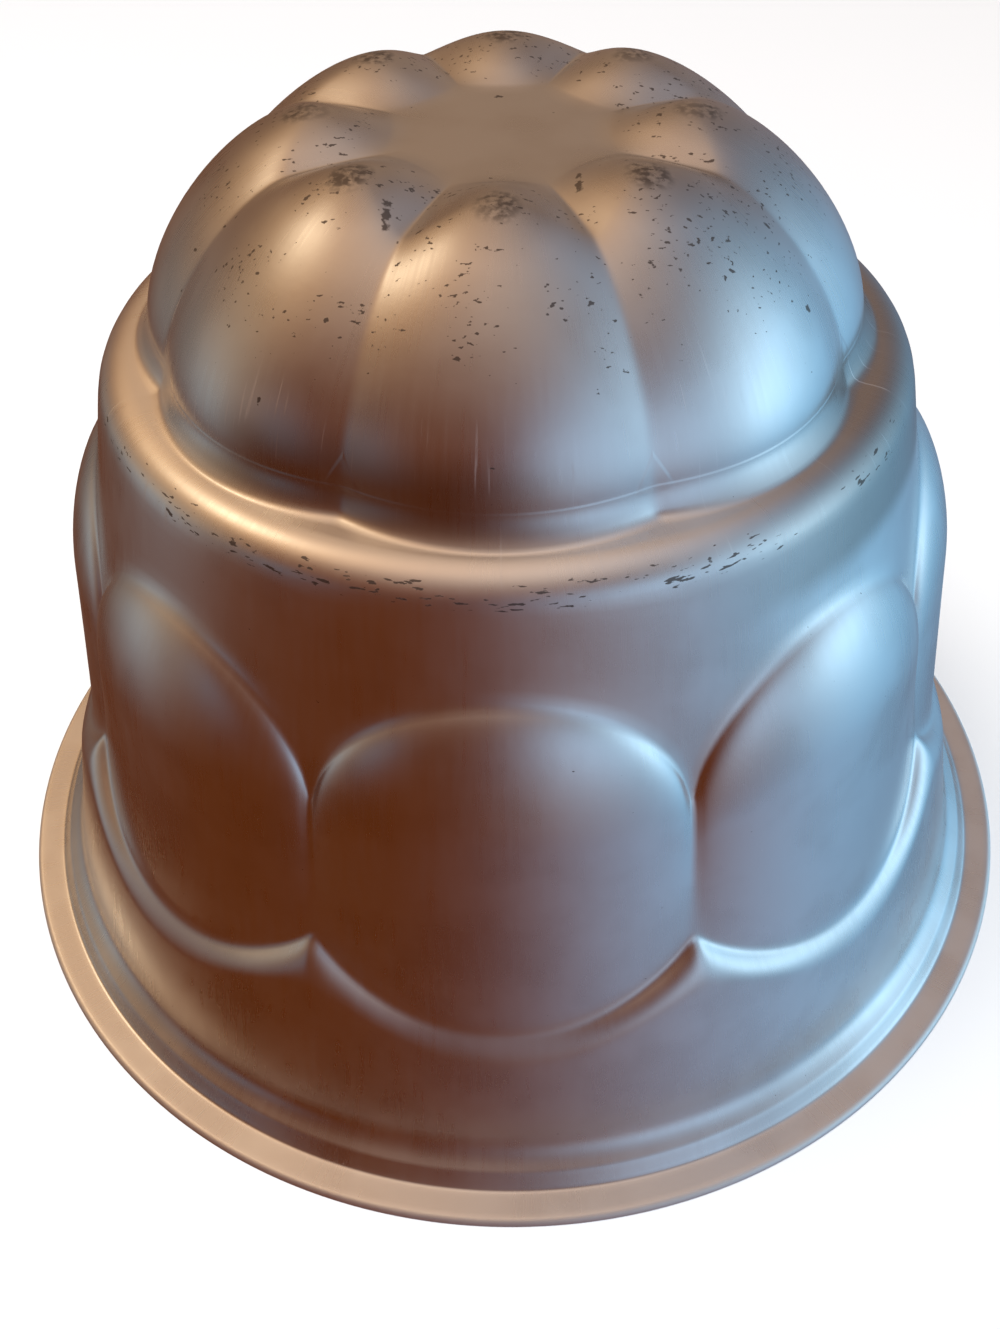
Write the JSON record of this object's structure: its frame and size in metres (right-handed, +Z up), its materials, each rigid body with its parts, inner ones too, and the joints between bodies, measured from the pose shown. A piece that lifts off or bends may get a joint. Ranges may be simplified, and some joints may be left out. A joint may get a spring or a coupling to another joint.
{
  "type": "jelly mould",
  "caption": "Round pressed aluminium jelly mould with a fluted domed crown, rounded side panels, a flared foot and a flat rim.",
  "frame": {"origin": "centre of the rim's underside, where the mould stands on a table", "axes": "+Z up along the mould's axis, from its open mouth to its crown; one side panel and one crown lobe face -Y"},
  "size_m": [0.16, 0.16, 0.1151],
  "materials": {
    "aluminium": "satin, worn with use: soft blurred reflections, fine scratches, small dark pits and dulled high spots"
  },
  "bodies": {
    "root": {"mould_shell": "aluminium"}
  },
  "joints": []
}
